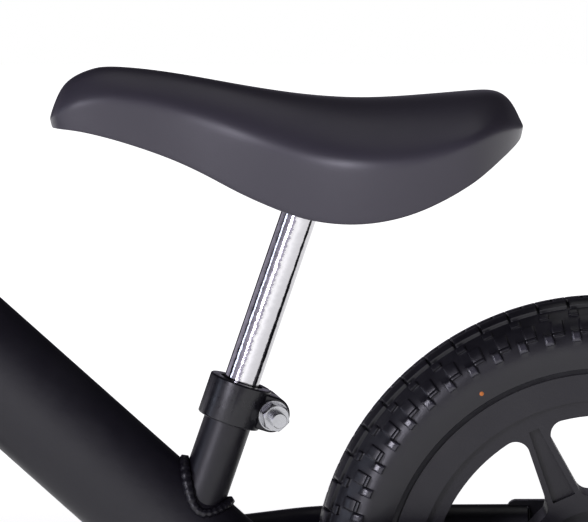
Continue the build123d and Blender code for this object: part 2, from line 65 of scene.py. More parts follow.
def new_finish(name, base, **settings):
    """A material of one shader, with the colour and the settings that are the same all over."""
    material = bpy.data.materials.new(name)
    material.use_nodes = True
    tree = material.node_tree
    tree.nodes.clear()
    shader = add(tree, "ShaderNodeBsdfPrincipled", Base_Color=tone(base), **settings)
    add(tree, "ShaderNodeOutputMaterial", {"Surface": shader.outputs[0]})
    where = add(tree, "ShaderNodeTexCoord").outputs["Object"]
    return material, tree, shader, where


def coat(material, *nodes):
    """Gives CAD nodes their finish."""
    for name in nodes:
        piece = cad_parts[name]
        piece.data.materials.clear()
        piece.data.materials.append(material)
        piece.data.polygons.foreach_set("material_index", [0] * len(piece.data.polygons))


# Black powder coat, sprayed dry and baked. It flows into a soft satin with a faint orange peel a few
# millimetres across, and its roughness drifts a little where the coat is thicker.
powder_coat, tree, shader, where = new_finish("black powder coat", "#121018", IOR=1.5)
peel = add(tree, "ShaderNodeTexNoise", {"Vector": where}, Scale=420, Detail=2)
drift = add(tree, "ShaderNodeTexNoise", {"Vector": where}, Scale=60, Detail=3)
rough = add(tree, "ShaderNodeMapRange", {"Value": drift.outputs["Fac"]}, From_Min=0.3, From_Max=0.7,
            To_Min=0.34, To_Max=0.44)
bump = add(tree, "ShaderNodeBump", {"Height": peel.outputs["Fac"]}, Strength=0.15, Distance=0.0003)
tree.links.new(rough.outputs[0], shader.inputs["Roughness"])
tree.links.new(bump.outputs[0], shader.inputs["Normal"])
coat(powder_coat, "main_tube", "head_tube", "seat_tube", "stay_left", "stay_right",
     "rear_dropout_left", "rear_dropout_right")


def choose(piece, wanted):
    """In edit mode, selects only the faces that pass a test on their middle and normal."""
    bpy.ops.mesh.select_mode(type="FACE")
    bpy.ops.mesh.select_all(action="DESELECT")
    bpy.ops.object.mode_set(mode="OBJECT")
    for face in piece.data.polygons:
        face.select = wanted(face.center, face.normal)
    bpy.ops.object.mode_set(mode="EDIT")


def draw(name, points, closed=False):
    """Starts a piece as a line of edges through points, left in edit mode with all of it selected."""
    bpy.ops.object.select_all(action="DESELECT")
    bpy.ops.mesh.primitive_plane_add(size=0.001, location=points[0])
    piece = bpy.context.object
    piece.name = piece.data.name = name
    bpy.ops.object.transform_apply(location=True)
    bpy.ops.object.mode_set(mode="EDIT")
    bpy.ops.mesh.select_mode(type="VERT")
    bpy.ops.mesh.select_all(action="SELECT")
    bpy.ops.mesh.merge(type="CENTER")
    for here, there in zip(points, points[1:]):
        bpy.ops.mesh.extrude_region_move(TRANSFORM_OT_translate={"value": Vector(there) - Vector(here)})
    bpy.ops.mesh.select_all(action="SELECT")
    if closed:
        bpy.ops.mesh.select_all(action="DESELECT")
        bpy.ops.object.mode_set(mode="OBJECT")
        piece.data.vertices[0].select = piece.data.vertices[-1].select = True
        bpy.ops.object.mode_set(mode="EDIT")
        bpy.ops.mesh.edge_face_add()
        bpy.ops.mesh.select_all(action="SELECT")
    return piece


def complete(piece, material, body, slot, *stands_for, angle=35):
    """Leaves edit mode, applies what is pending, smooths the shading and hands the piece to the frame."""
    if bpy.context.object and bpy.context.object.mode == "EDIT":
        bpy.ops.object.mode_set(mode="OBJECT")
    bpy.ops.object.select_all(action="DESELECT")
    piece.select_set(True)
    bpy.context.view_layer.objects.active = piece
    for modifier in list(piece.modifiers):
        bpy.ops.object.modifier_apply(modifier=modifier.name)
    bpy.ops.object.transform_apply(location=True, rotation=True, scale=True)
    bpy.ops.object.shade_smooth_by_angle(angle=radians(angle))
    piece.data.materials.clear()
    piece.data.materials.append(material)
    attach(piece, body)
    if stands_for:
        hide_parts(*stands_for)
    return piece


def axes(origin, along, across):
    """A place whose z runs along an axis of the bike, and whose x is across it."""
    z = Vector(along).normalized()
    y = z.cross(Vector(across)).normalized()
    turn = Matrix((y.cross(z), y, z)).transposed().to_4x4()
    return Matrix.Translation(Vector(origin)) @ turn


HEAD = Vector((-162.672, 0, 372.903)) * MM
TILT, SLOPE, LEAN = radians(20), radians(42), radians(19)
steer = axes(HEAD, (sin(TILT), 0, cos(TILT)), (cos(TILT), 0, -sin(TILT)))
main = axes(HEAD, (cos(SLOPE), 0, -sin(SLOPE)), (sin(SLOPE), 0, cos(SLOPE)))
seat = axes((57.299 * MM, 0, 174.840 * MM), (sin(LEAN), 0, cos(LEAN)), (cos(LEAN), 0, -sin(LEAN)))
MAIN_HALF = (30 * MM, 18 * MM)


def in_main_tube(point):
    p = main.inverted() @ point
    return (p.x / MAIN_HALF[0]) ** 2 + (p.y / MAIN_HALF[1]) ** 2 < 1


def in_head_tube(point):
    p = steer.inverted() @ point
    return hypot(p.x, p.y) < 19 * MM


def seam(place, half_x, half_y, inside, near, far, points=132):
    """Where a tube runs into another: each of its lines is followed from near, outside, to far, inside."""
    line = []
    for i in range(points):
        turn = 2 * pi * i / points
        low, high = near, far
        for _ in range(24):
            middle = (low + high) / 2
            point = place @ Vector((half_x * cos(turn), half_y * sin(turn), middle))
            low, high = (low, middle) if inside(point) else (middle, high)
        line.append(place @ Vector((half_x * cos(turn), half_y * sin(turn), low)))
    return line


RIPPLE = (1.05, 1.0, 0.88, 0.97)


def weld(name, line, thick, body, open_ended=False, fill=0.0):
    """A rippled weld bead along a seam, fuller by fill in the corner that faces forward."""
    bead = draw(name, line, closed=not open_ended)
    bpy.ops.object.mode_set(mode="OBJECT")
    bpy.ops.object.convert(target="CURVE")
    bead = bpy.context.object
    bead.data.bevel_depth = thick
    bead.data.bevel_resolution = 1
    for spline in bead.data.splines:
        for i, point in enumerate(spline.points):
            corner = max(0, -cos(2 * pi * i / len(spline.points))) ** 2
            point.radius = RIPPLE[i % len(RIPPLE)] * (1 + fill * corner)
    bpy.ops.object.convert(target="MESH")
    return complete(bpy.context.object, powder_coat, body, "frame_paint", angle=60)


# Weld beads, laid by hand round each joint before the coating, 4 to 5 mm across with a ripple every few
# millimetres. The seat tube's bead lies against the outside of its wall, clear of the post inside.
SEAT_BEAD_R = 14.8 * MM
STAY_R = 11 * MM
weld("seat_tube_weld", seam(seat, SEAT_BEAD_R, SEAT_BEAD_R, in_main_tube, 0.09, 0.01), 2.6 * MM, "frame",
     fill=0.3)
weld("head_tube_weld", seam(main, *MAIN_HALF, in_head_tube, 0.06, 0, points=180), 2.2 * MM, "frame")
STAY_START, STAY_BEND = Vector((60, 6, 172.5)) * MM, Vector((128, 42.5, 175)) * MM
for side, sign in (("right", 1), ("left", -1)):
    start, bend = (Vector((p.x, sign * p.y, p.z)) for p in (STAY_START, STAY_BEND))
    stay = axes(start, bend - start, (0, 0, 1))
    weld(f"stay_weld_{side}", seam(stay, STAY_R, STAY_R, in_main_tube, 0.06, 0, points=108), 1.9 * MM,
         "frame")

# The dropout plates are let into the ends of the stays, with a bead up each face of the plate where the
# stay ends.
STAY_END, STAY_Y, PLATE_FACE, BEAD_LOW, BEAD_STEP = 238.4, 42.5, 3.2, 165.3, 0.68
for side, sign in (("right", 1), ("left", -1)):
    for face in (-1, 1):
        line = [Vector((STAY_END, sign * (STAY_Y + face * PLATE_FACE), BEAD_LOW + BEAD_STEP * i)) * MM
                for i in range(31)]
        weld(f"dropout_weld_{side}_{'outer' if face > 0 else 'inner'}", line, 1.2 * MM, "frame",
             open_ended=True)


# ---- End cap ---------------------------------------------------------------------------------------------
# A moulded plastic plug pushed into the open lower end of the main tube, held by its own grip.

# Moulded polyethylene. The mould was spark eroded, so the skin is evenly matt with a fine pebble.
trim_plastic, tree, shader, where = new_finish("moulded trim plastic", "#161618", IOR=1.5, Roughness=0.5)
pebble = add(tree, "ShaderNodeTexNoise", {"Vector": where}, Scale=1500, Detail=2)
bump = add(tree, "ShaderNodeBump", {"Height": pebble.outputs["Fac"]}, Strength=0.2, Distance=0.0002)
tree.links.new(bump.outputs[0], shader.inputs["Normal"])
coat(trim_plastic, "main_tube_end_cap", "seat_tube_sleeve", "seat_post_plug")


# ---- Headset ---------------------------------------------------------------------------------------------
# Pressed steel cups at both ends of the head tube, with the bearings in them and a threaded nut on the
# steerer.

# Black stoved enamel on turned steel: glossier than the frame, with the faintest lathe lines under it.
enamel, tree, shader, where = new_finish("black stoved enamel", "#111016", IOR=1.52)
flow = add(tree, "ShaderNodeTexNoise", {"Vector": where}, Scale=300, Detail=2)
rough = add(tree, "ShaderNodeMapRange", {"Value": flow.outputs["Fac"]}, From_Min=0.3, From_Max=0.7,
            To_Min=0.26, To_Max=0.36)
bump = add(tree, "ShaderNodeBump", {"Height": flow.outputs["Fac"]}, Strength=0.3, Distance=0.0003)
tree.links.new(rough.outputs[0], shader.inputs["Roughness"])
tree.links.new(bump.outputs[0], shader.inputs["Normal"])
coat(enamel, "headset_upper_cup", "headset_lower_cup", "headset_crown_race", "headset_adjusting_nut",
     "headset_lock_washer", "headset_locknut")

# Ground bearing steel: bright, with a fine grinding grain.
bearing_steel, tree, shader, where = new_finish("ground bearing steel", "#b4b5b8", Metallic=1)
grain = add(tree, "ShaderNodeTexNoise", {"Vector": where}, Scale=2200, Detail=3)
rough = add(tree, "ShaderNodeMapRange", {"Value": grain.outputs["Fac"]}, To_Min=0.12, To_Max=0.34)
tree.links.new(rough.outputs[0], shader.inputs["Roughness"])
coat(bearing_steel, "headset_upper_bearing", "headset_lower_bearing", "front_wheel_bearings",
     "rear_wheel_bearings")


# ---- Fork ------------------------------------------------------------------------------------------------
# A steerer and two blades welded into a forged crown, with plate dropouts let into the blade ends. It is
# powder coated like the frame.

coat(powder_coat, "fork_steerer", "fork_crown", "fork_blade_left", "fork_blade_right",
     "fork_dropout_left", "fork_dropout_right")
CROWN_FOOT, CROWN_BEAD_R, BLADE_Y = -86.8 * MM, 11.4 * MM, 42.5 * MM
for side, sign in (("right", 1), ("left", -1)):
    ring = [steer @ Vector((CROWN_BEAD_R * cos(2 * pi * i / 96),
                            sign * BLADE_Y + CROWN_BEAD_R * sin(2 * pi * i / 96), CROWN_FOOT))
            for i in range(96)]
    weld(f"crown_weld_{side}", ring, 1.7 * MM, "fork")


# ---- Wheels ----------------------------------------------------------------------------------------------
# One-piece nylon mouldings: a channelled rim, five hollowed spokes and a dished hub disc. Every edge has
# the small radius that the mould needs.

# Glass-filled nylon from a spark-eroded mould: satin, with an even pebble. It is drawn about a millimetre
# across, coarser than the real one, so that it shows.
nylon, tree, shader, where = new_finish("moulded black nylon", "#16141b", IOR=1.53)
pebble = add(tree, "ShaderNodeTexNoise", {"Vector": where}, Scale=1100, Detail=2)
flow = add(tree, "ShaderNodeTexNoise", {"Vector": where}, Scale=45, Detail=3)
rough = add(tree, "ShaderNodeMapRange", {"Value": flow.outputs["Fac"]}, From_Min=0.3, From_Max=0.7,
            To_Min=0.36, To_Max=0.46)
bump = add(tree, "ShaderNodeBump", {"Height": pebble.outputs["Fac"]}, Strength=0.25, Distance=0.0002)
tree.links.new(rough.outputs[0], shader.inputs["Roughness"])
tree.links.new(bump.outputs[0], shader.inputs["Normal"])


def softened(name, node, radius, segments=2, angle=30):
    """A copy of a CAD node with its doubled corners merged, its flats made whole and its edges rounded."""
    bpy.ops.object.select_all(action="DESELECT")
    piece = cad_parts[node].copy()
    piece.data = piece.data.copy()
    piece.name = piece.data.name = name
    bpy.context.collection.objects.link(piece)
    piece.parent = None
    piece.matrix_world = Matrix.Identity(4)
    piece.select_set(True)
    bpy.context.view_layer.objects.active = piece
    bpy.ops.object.mode_set(mode="EDIT")
    bpy.ops.mesh.select_all(action="SELECT")
    bpy.ops.mesh.remove_doubles(threshold=0.00001)
    bpy.ops.mesh.dissolve_limited(angle_limit=radians(0.5))
    bpy.ops.object.mode_set(mode="OBJECT")
    bevel = piece.modifiers.new("edges", "BEVEL")
    bevel.width = radius
    bevel.segments = segments
    bevel.limit_method = "ANGLE"
    bevel.angle_limit = radians(angle)
    return piece


for end in ("rear", "front"):
    wheel = softened(f"{end}_wheel_moulding", f"{end}_wheel", 0.7 * MM)
    complete(wheel, nylon, f"{end}_wheel", "wheel_plastic", f"{end}_wheel", angle=30)
    wheel.modifiers.new("flats", "WEIGHTED_NORMAL").keep_sharp = True
    bpy.ops.object.modifier_apply(modifier="flats")


# ---- Axles -----------------------------------------------------------------------------------------------
# Threaded steel axles with cone locknuts inside the dropouts, and a washer and nut outside. They are zinc
# plated.

# Bright zinc plate on turned steel: pale, a little blue, dulled unevenly by handling.
zinc, tree, shader, where = new_finish("bright zinc plate", "#c3c4c6", Metallic=1)
cloud = add(tree, "ShaderNodeTexNoise", {"Vector": where}, Scale=260, Detail=4)
rough = add(tree, "ShaderNodeMapRange", {"Value": cloud.outputs["Fac"]}, From_Min=0.3, From_Max=0.7,
            To_Min=0.16, To_Max=0.36)
bump = add(tree, "ShaderNodeBump", {"Height": cloud.outputs["Fac"]}, Strength=0.15, Distance=0.0003)
tree.links.new(rough.outputs[0], shader.inputs["Roughness"])
tree.links.new(bump.outputs[0], shader.inputs["Normal"])
coat(zinc, "rear_axle", "front_axle", "rear_locknuts", "front_locknuts", "rear_axle_washers",
     "front_axle_washers", "rear_axle_nuts", "front_axle_nuts", "rear_hub_spacer", "front_hub_spacer",
     "seat_clamp_bolt", "seat_clamp_nut", "seat_clamp_washers", "stem_clamp_bolt", "stem_clamp_nut",
     "stem_clamp_washers", "saddle_screws")


def turned(name, profile, place, steps=32):
    """A round piece turned on a lathe: a line of (radius, height) points spun round z, then put in place."""
    piece = draw(name, [(r * MM, 0, h * MM) for r, h in profile])
    bpy.ops.mesh.spin(steps=steps, angle=2 * pi, center=(0, 0, 0), axis=(0, 0, 1))
    bpy.ops.mesh.select_all(action="SELECT")
    bpy.ops.mesh.remove_doubles(threshold=0.00001)
    bpy.ops.mesh.normals_make_consistent(inside=False)
    bpy.ops.object.mode_set(mode="OBJECT")
    piece.matrix_world = place
    return piece


def thread(radius, start, end, pitch):
    """The side view of a screw thread: a crest and a root every pitch, closed on its own core."""
    line = [(radius - 0.8, start)]
    at = start
    while at < end - pitch / 2:
        line += [(radius - 0.02, at), (radius + 0.3, at + pitch * 0.35), (radius + 0.3, at + pitch * 0.65)]
        at += pitch
    return [*line, (radius - 0.02, at), (radius - 0.8, at)]


for end, x in (("rear", 275), ("front", -275)):
    for side, sign in (("right", 1), ("left", -1)):
        hub_end = axes((x * MM, 0, 152 * MM), (0, sign, 0), (1, 0, 0))
        complete(turned(f"{end}_axle_thread_{side}", thread(4.75, 45.5, 55.2, 1.0), hub_end), zinc,
                 "frame" if end == "rear" else "fork", "zinc")


# ---- Tyres -----------------------------------------------------------------------------------------------
# Air tyres moulded in rubber. A lug, a shoulder block beside it, a small knob and the crown's staggered
# blocks repeat 59 times round the tyre, and the two sides are turned end for end.

PITCHES, COLUMNS = 59, 12
SIDEWALL = [(113, 19), (113.8, 20.3), (115.6, 21.2), (116.2, 21.9), (117, 22.1), (120, 22.9), (124.5, 23.5),
            (128.5, 23.6), (131, 23.3), (133.2, 22.7), (135, 22), (136.6, 21.2), (139.4, 19.2), (142.2, 16.9),
            (143.6, 15.5), (145.7, 13), (147, 11), (148.6, 7.4), (149.4, 4), (149.7, 0)]
BEAD = [(113, 15.7), (104.2, 15.4), (104.2, 11)]
LINING = [(112, 12.2), (125, 19.4), (134.5, 18.2), (142.5, 11.4), (146.6, 5), (147.6, 0)]
half = [*reversed(LINING), *reversed(BEAD), *SIDEWALL]
loop = half + [(r, -y) for r, y in reversed(half[1:-1])]
HUB = Vector((275, 0, 152)) * MM

tyre = draw("rear_tyre_tread", [HUB + Vector((r, y, 0)) * MM for r, y in loop], closed=True)
bpy.ops.mesh.spin(steps=COLUMNS, angle=2 * pi / PITCHES, center=HUB, axis=(0, 1, 0))
bpy.ops.mesh.select_all(action="SELECT")
bpy.ops.mesh.normals_make_consistent(inside=False)


def raise_blocks(height, r_low, r_high, columns, side=0, y_low=0.0, y_high=99.0):
    """Grows tread blocks out of the carcass, over some of its rows and columns, on one side or both."""
    def wanted(middle, normal):
        out = middle - HUB
        r, y = hypot(out.x, out.z) / MM, out.y / MM
        column = int(atan2(out.z, out.x) / (2 * pi / PITCHES) * COLUMNS)
        facing = out.x * normal.x + out.z * normal.z + out.y * normal.y * 0.6
        here = side == 0 or y * side > 0
        within = r_low < r < r_high and y_low <= abs(y) < y_high
        return within and column in columns and here and facing > 0
    choose(tyre, wanted)
    bpy.ops.mesh.extrude_region_shrink_fatten(TRANSFORM_OT_shrink_fatten={"value": height * MM})


near, far = -1, 1
for side, lug, dash in ((near, range(8, 12), range(3, 8)), (far, range(0, 4), range(4, 9))):
    raise_blocks(1.2, 136.6, 142.2, dash, side, y_low=15)
    raise_blocks(1.0, 135.0, 136.6, dash, side, y_low=20)
    raise_blocks(1.4, 131.0, 136.6, lug, side, y_low=20)
    bpy.ops.mesh.inset(thickness=0.9 * MM, depth=0.6 * MM)
    raise_blocks(1.6, 143.6, 145.7, lug, side, y_low=12)
    raise_blocks(2.2, 147.0, 149.2, range(0, 11) if side == near else range(1, 12), side, y_low=4)
raise_blocks(2.2, 149.4, 152.0, [*range(0, 5), *range(6, 12)], y_high=4)
bpy.ops.mesh.select_mode(type="EDGE")
bpy.ops.mesh.select_all(action="DESELECT")
bpy.ops.mesh.edges_select_sharp(sharpness=radians(40))
bpy.ops.mesh.bevel(offset=0.45 * MM, segments=2, affect="EDGES")
bpy.ops.mesh.select_all(action="SELECT")
bpy.ops.mesh.spin(steps=PITCHES - 1, dupli=True, angle=2 * pi * (PITCHES - 1) / PITCHES, center=HUB,
                  axis=(0, 1, 0))
bpy.ops.mesh.select_all(action="SELECT")
bpy.ops.mesh.remove_doubles(threshold=0.00002)
bpy.ops.mesh.normals_make_consistent(inside=False)
bpy.ops.object.mode_set(mode="OBJECT")

# Moulded black rubber. Mould release leaves it matt with a slight bloom. The lugs stand out past the
# sidewall, where the mould was cut bright, so their tops shine; their lighter grey is a painted highlight.
rubber, tree, shader, where = new_finish("moulded tyre rubber", "#1c1c1f", IOR=1.52)
bloom = add(tree, "ShaderNodeTexNoise", {"Vector": where}, Scale=90, Detail=5)
skin = add(tree, "ShaderNodeTexNoise", {"Vector": where}, Scale=1600, Detail=2)
shade = add(tree, "ShaderNodeMix", {"Factor": bloom.outputs["Fac"]}, data_type="RGBA")
shade.inputs[6].default_value, shade.inputs[7].default_value = tone("#141318"), tone("#1c1b21")
rough = add(tree, "ShaderNodeMapRange", {"Value": bloom.outputs["Fac"]}, From_Min=0.3, From_Max=0.7,
            To_Min=0.3, To_Max=0.42)
bump = add(tree, "ShaderNodeBump", {"Height": skin.outputs["Fac"]}, Strength=0.25, Distance=0.0002)
out = add(tree, "ShaderNodeMath", {0: add(tree, "ShaderNodeSeparateXYZ", {"Vector": where}).outputs["Y"]},
          operation="ABSOLUTE")
proud = add(tree, "ShaderNodeMapRange", {"Value": out.outputs[0]}, From_Min=0.0236, From_Max=0.0241)
# The lug tops are painted a lighter grey: a painted highlight, not the rubber's own colour.
lug_painted_highlight = add(tree, "ShaderNodeMix", {"Factor": proud.outputs[0], 6: shade.outputs[2]}, data_type="RGBA")
lug_painted_highlight.inputs[7].default_value = tone("#3c3b42")
polished = add(tree, "ShaderNodeMapRange", {"Value": proud.outputs[0]}, To_Min=1, To_Max=0.5)
rough = add(tree, "ShaderNodeMath", {0: rough.outputs[0], 1: polished.outputs[0]}, operation="MULTIPLY")
tree.links.new(lug_painted_highlight.outputs[2], shader.inputs["Base Color"])
tree.links.new(rough.outputs[0], shader.inputs["Roughness"])
tree.links.new(bump.outputs[0], shader.inputs["Normal"])


def twin(piece, name, shift):
    """A second one of a finished shape, with its own mesh, moved along the bike."""
    other = piece.copy()
    other.data = piece.data.copy()
    other.name = other.data.name = name
    bpy.context.collection.objects.link(other)
    other.data.transform(Matrix.Translation(shift))
    return other


WHEELBASE = Vector((-0.55, 0, 0))
front = twin(tyre, "front_tyre_tread", WHEELBASE)
complete(tyre, rubber, "rear_wheel", "tread_rubber", "rear_tyre")
complete(front, rubber, "front_wheel", "tread_rubber", "front_tyre")

# Inner tube rubber: soft butyl, only its valve stem shows, through the rim.
butyl, tree, shader, where = new_finish("soft butyl rubber", "#161617", IOR=1.52, Roughness=0.55)
dust = add(tree, "ShaderNodeTexNoise", {"Vector": where}, Scale=500, Detail=3)
bump = add(tree, "ShaderNodeBump", {"Height": dust.outputs["Fac"]}, Strength=0.2, Distance=0.0002)
tree.links.new(bump.outputs[0], shader.inputs["Normal"])
coat(butyl, "rear_inner_tube", "front_inner_tube")

# Valve caps: moulded plastic, ribbed so that fingers can turn them, screwed on the valve stems.
for end, x, turn in (("rear", 275, 294), ("front", -275, 264)):
    spoke = (cos(radians(turn)), 0, sin(radians(turn)))
    stem = axes((x * MM, 0, 152 * MM), spoke, (0, 1, 0))
    ribs = [point for i in range(5) for point in ((4.9, 66 + 1.5 * i), (4.9, 66.8 + 1.5 * i),
                                                  (4.6, 67 + 1.5 * i), (4.6, 67.3 + 1.5 * i))]
    side_view = [(0, 63.4), (2.6, 63.4), (4.2, 64), (4.9, 65.2), *ribs, (4.9, 75), (4.02, 75)]
    cap = turned(f"{end}_valve_cap", side_view, stem)
    complete(cap, trim_plastic, f"{end}_wheel", "trim_plastic")

# A dab of orange paint on the sidewall, put on at the factory to mark the tyre's light side.
mark_paint, tree, shader, where = new_finish("orange marking paint", "#c9742f", IOR=1.5, Roughness=0.5)
wear = add(tree, "ShaderNodeTexNoise", {"Vector": where}, Scale=900, Detail=3)
bump = add(tree, "ShaderNodeBump", {"Height": wear.outputs["Fac"]}, Strength=0.4, Distance=0.0003)
tree.links.new(bump.outputs[0], shader.inputs["Normal"])
dot = turned("tyre_paint_dot", [(1.35, -0.4), (1.3, 0), (0.9, 0.22), (0, 0.3)],
             axes((210.7 * MM, -23.0 * MM, 254.9 * MM), (0.07, -0.99, -0.11), (1, 0, 0)), steps=20)
complete(dot, mark_paint, "rear_wheel", "tread_rubber")


# ---- Seat post and clamp ---------------------------------------------------------------------------------
# A chromed steel post in the split seat tube. A cast collar with two ears is drawn shut by an M8 bolt and
# nut. The same collar holds the handlebar's stem.

# Bright chrome plate over polished tube: mirror bright, with long, shallow draw lines that break up its
# reflections.
chrome, tree, shader, where = new_finish("bright chrome plate", "#d9d8da", Metallic=1)
turn = add(tree, "ShaderNodeMapping", {"Vector": where}, Rotation=(0, -LEAN, 0), Scale=(420, 420, 22))
lines = add(tree, "ShaderNodeTexNoise", {"Vector": turn.outputs[0]}, Scale=1, Detail=3)
mottle = add(tree, "ShaderNodeTexNoise", {"Vector": where}, Scale=170, Detail=3)
rough = add(tree, "ShaderNodeMapRange", {"Value": mottle.outputs["Fac"]}, From_Min=0.35, From_Max=0.7,
            To_Min=0.05, To_Max=0.13)
wave = add(tree, "ShaderNodeBump", {"Height": mottle.outputs["Fac"]}, Strength=0.3, Distance=0.0006)
bump = add(tree, "ShaderNodeBump", {"Height": lines.outputs["Fac"], "Normal": wave.outputs[0]},
           Strength=0.12, Distance=0.0003)
tree.links.new(rough.outputs[0], shader.inputs["Roughness"])
tree.links.new(bump.outputs[0], shader.inputs["Normal"])
coat(chrome, "seat_post")
for name, body in (("seat_clamp", "frame"), ("stem_clamp", "fork")):
    complete(softened(f"{name}_casting", name, 0.8 * MM, segments=3), enamel, body, "clamp_paint", name)
coat(powder_coat, "saddle_bracket")

# The bolts' exposed threads, past the nuts.
BOLT_OUT, BOLT_HIGH, BOLT_CORE, NUT_FACE, BOLT_END = 5.9, 11, 3.75, 19.8, 25.4
seat_collar = seat @ Matrix.Translation((0, 0, 66.5 * MM)) @ Matrix.Rotation(radians(16), 4, "Z")
stem_collar = steer @ Matrix.Translation((0, 0, 79 * MM))
for name, collar, bore, body in (("seat_bolt_thread", seat_collar, 12.7, "frame"),
                                 ("stem_bolt_thread", stem_collar, 14.3, "fork")):
    bolt = (collar @ Matrix.Translation(((bore + BOLT_OUT) * MM, 0, BOLT_HIGH * MM))
            @ Matrix.Rotation(radians(90), 4, "X"))
    tip = [*thread(BOLT_CORE, NUT_FACE, BOLT_END, 1.0), (0, BOLT_END + 0.2)]
    complete(turned(name, tip, bolt), zinc, body, "zinc")


# ---- Saddle ----------------------------------------------------------------------------------------------
# A one-piece padded cover moulded in integral-skin foam over a plastic base. It is long and narrow at the
# nose, wide at the back, and its side tucks in under a soft crease.

SADDLE_TOP = [(-13.5, 396.6), (-12.5, 400.6), (-8, 411.9), (0, 418.6), (12, 422.8), (25, 423.2), (54, 419.6),
              (85, 414), (117, 409.1), (148, 407), (180, 408.6), (208, 410.8), (220, 410.2), (227, 404.6),
              (232.4, 392.6)]
SADDLE_CREASE = [(-13.5, 397), (-3, 405), (24, 409.3), (49, 404.8), (83, 392.9), (117, 382.6), (143, 380.3),
                 (168, 380.7), (185, 384.2), (204, 390.8), (220, 396), (232.4, 393.5)]
SADDLE_FOOT = [(-13.5, 391.5), (8, 389.2), (38, 380.4), (54, 374.4), (70, 366.8), (85, 358.6), (101, 352.2),
               (117, 346.8), (132, 344.8), (148, 344.8), (169, 348.4), (186, 355.2), (206, 366.7),
               (220, 377.5), (232.4, 388)]
SADDLE_PLAN = [(-13.6, 0), (-13, 7), (-10.5, 13), (-5, 18), (4, 21), (20, 22.5), (36, 23), (52, 24),
               (68, 26.8), (84, 32), (100, 39.5), (115, 47.8), (130, 55), (145, 60.2), (160, 63),
               (176, 64.2), (192, 63.8), (203, 61.8), (210, 57.5), (218, 49.5), (225.5, 39), (230.2, 27),
               (232.2, 14), (232.6, 0)]
SPINE = (14, 206)


def height_at(line, x):
    """The height of a line of points at x, smoothed through the points."""
    x = min(max(x, line[0][0]), line[-1][0])
    i = max(1, next(k for k, point in enumerate(line) if point[0] >= x))
    (x0, z0), (x1, z1) = line[i - 1], line[i]
    before = line[i - 2] if i > 1 else line[0]
    after = line[i + 1] if i + 1 < len(line) else line[-1]
    m0 = (z1 - before[1]) / max(x1 - before[0], 1e-6)
    m1 = (after[1] - z0) / max(after[0] - x0, 1e-6)
    t, run = (x - x0) / (x1 - x0), x1 - x0
    return ((2 * t ** 3 - 3 * t ** 2 + 1) * z0 + (t ** 3 - 2 * t ** 2 + t) * run * m0
            + (3 * t ** 2 - 2 * t ** 3) * z1 + (t ** 3 - t ** 2) * run * m1)


def half_width(x):
    """Half the saddle's width at the crease, straight between the plan's corners."""
    i = max(1, next((k for k, corner in enumerate(SADDLE_PLAN) if corner[0] >= x), len(SADDLE_PLAN) - 1))
    (x0, y0), (x1, y1) = SADDLE_PLAN[i - 1], SADDLE_PLAN[i]
    return y0 + (y1 - y0) * (x - x0) / (x1 - x0)


def saddle_skin(name, out, down):
    """The saddle's skin: rings from the spine out to the crease, then down the side to the foot."""
    rim = SADDLE_PLAN + [(x, -y) for x, y in reversed(SADDLE_PLAN[1:-1])]
    bpy.ops.object.select_all(action="DESELECT")
    bpy.ops.mesh.primitive_circle_add(vertices=len(rim), radius=0.05, fill_type="NOTHING")
    piece = bpy.context.object
    piece.name = piece.data.name = name
    bpy.ops.object.mode_set(mode="EDIT")
    for _ in range(len(out) + len(down) - 1):
        bpy.ops.mesh.extrude_region_move(TRANSFORM_OT_translate={"value": (0, 0, -0.01)})
    bpy.ops.object.mode_set(mode="OBJECT")
    for k, vertex in enumerate(piece.data.vertices):
        ring, (x, y) = k // len(rim), rim[k % len(rim)]
        middle = min(max(x, SPINE[0]), SPINE[1])
        if ring < len(out):
            share = out[ring]
            px, py = middle + share * (x - middle), share * y
            crease, top = height_at(SADDLE_CREASE, px), height_at(SADDLE_TOP, px)
            pz = top - (top - crease) * min(1, abs(py) / max(half_width(px), 0.1)) ** 2.5
        else:
            share = down[ring - len(out)]
            tuck = 0.09 * share ** 1.5
            px, py = x - (x - middle) * tuck * 0.5, y * (1 - tuck)
            crease, foot = height_at(SADDLE_CREASE, x), height_at(SADDLE_FOOT, px)
            pz = crease + (foot - crease) * share
        vertex.co = (px * MM, py * MM, pz * MM)
    bpy.ops.object.mode_set(mode="EDIT")
    bpy.ops.mesh.select_all(action="SELECT")
    bpy.ops.mesh.remove_doubles(threshold=0.00005)
    bpy.ops.mesh.normals_make_consistent(inside=False)
    bpy.ops.object.mode_set(mode="OBJECT")
    return piece


saddle = saddle_skin("saddle_padding", [0, 0.2, 0.42, 0.62, 0.8, 0.94], [0.08, 0.26, 0.48, 0.7, 0.9, 1])
shell = saddle.modifiers.new("foam", "SOLIDIFY")
shell.thickness, shell.offset = 7 * MM, -1
smooth = saddle.modifiers.new("smooth", "SUBSURF")
smooth.levels = smooth.render_levels = 2

# Integral-skin polyurethane foam from a polished mould: a satin skin with a very fine, shallow grain.
foam_skin, tree, shader, where = new_finish("integral foam skin", "#3a3740", IOR=1.5)
grain = add(tree, "ShaderNodeTexNoise", {"Vector": where}, Scale=900, Detail=3)
handling = add(tree, "ShaderNodeTexNoise", {"Vector": where}, Scale=30, Detail=3)
rough = add(tree, "ShaderNodeMapRange", {"Value": handling.outputs["Fac"]}, From_Min=0.3, From_Max=0.7,
            To_Min=0.36, To_Max=0.44)
bump = add(tree, "ShaderNodeBump", {"Height": grain.outputs["Fac"]}, Strength=0.2, Distance=0.0002)
tree.links.new(rough.outputs[0], shader.inputs["Roughness"])
tree.links.new(bump.outputs[0], shader.inputs["Normal"])
complete(saddle, foam_skin, "saddle", "saddle_skin", "saddle_cover", angle=60)

